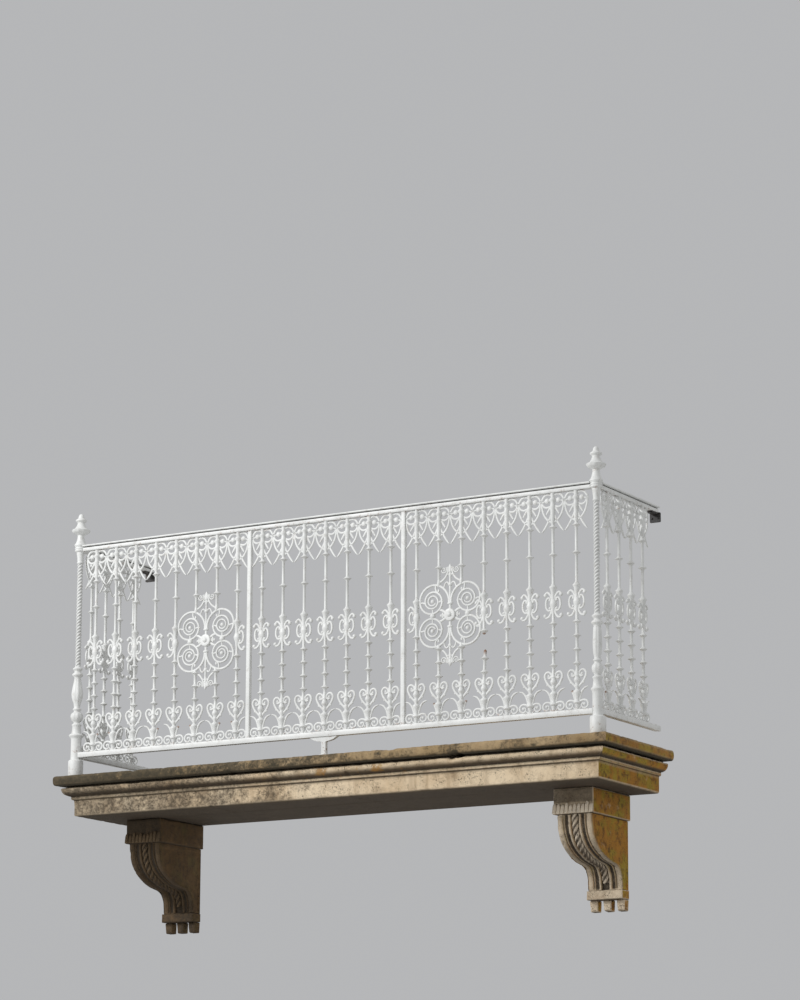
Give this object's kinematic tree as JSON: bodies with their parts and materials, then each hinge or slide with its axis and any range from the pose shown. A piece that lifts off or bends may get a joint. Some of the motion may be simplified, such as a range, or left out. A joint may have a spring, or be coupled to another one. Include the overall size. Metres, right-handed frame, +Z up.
{
  "type": "wrought iron balcony",
  "caption": "Stone balcony on scroll corbels with a white cast and wrought iron railing: ringed balusters, spiral medallions and twisted corner posts.",
  "frame": {"origin": "centre of the top slab's rear face, on the wall plane", "axes": "+X along the facade, to the right as seen from outside; +Y into the wall; +Z up"},
  "size_m": [2.629, 0.594, 1.776],
  "materials": {
    "painted_iron": "old white paint, rusty",
    "bare_iron": "dark, weathered",
    "stone": "weathered limestone with lichen"
  },
  "bodies": {
    "root": {"balusters_front_left": "painted_iron", "balusters_front_middle": "painted_iron", "balusters_front_right": "painted_iron", "balusters_left_return": "painted_iron", "balusters_right_return": "painted_iron", "bottom_bar_front": "painted_iron", "bottom_bar_left_return": "painted_iron", "bottom_bar_right_return": "painted_iron", "centre_foot": "painted_iron", "corbel_cap_left": "stone", "corbel_cap_right": "stone", "corbel_foot_left": "stone", "corbel_foot_right": "stone", "corbel_scroll_left": "stone", "corbel_scroll_right": "stone", "finial_left": "painted_iron", "finial_right": "painted_iron", "handrail_cap_front": "painted_iron", "handrail_cap_left_return": "painted_iron", "handrail_cap_right_return": "painted_iron", "medallion_left": "painted_iron", "medallion_right": "painted_iron", "platform_moulded_course": "stone", "platform_top_slab": "stone", "post_left": "painted_iron", "post_right": "painted_iron", "standard_left": "painted_iron", "standard_right": "painted_iron", "top_bar_front": "painted_iron", "top_bar_left_return": "painted_iron", "top_bar_right_return": "painted_iron", "wall_bracket_left": "bare_iron", "wall_bracket_right": "bare_iron"}
  },
  "joints": []
}
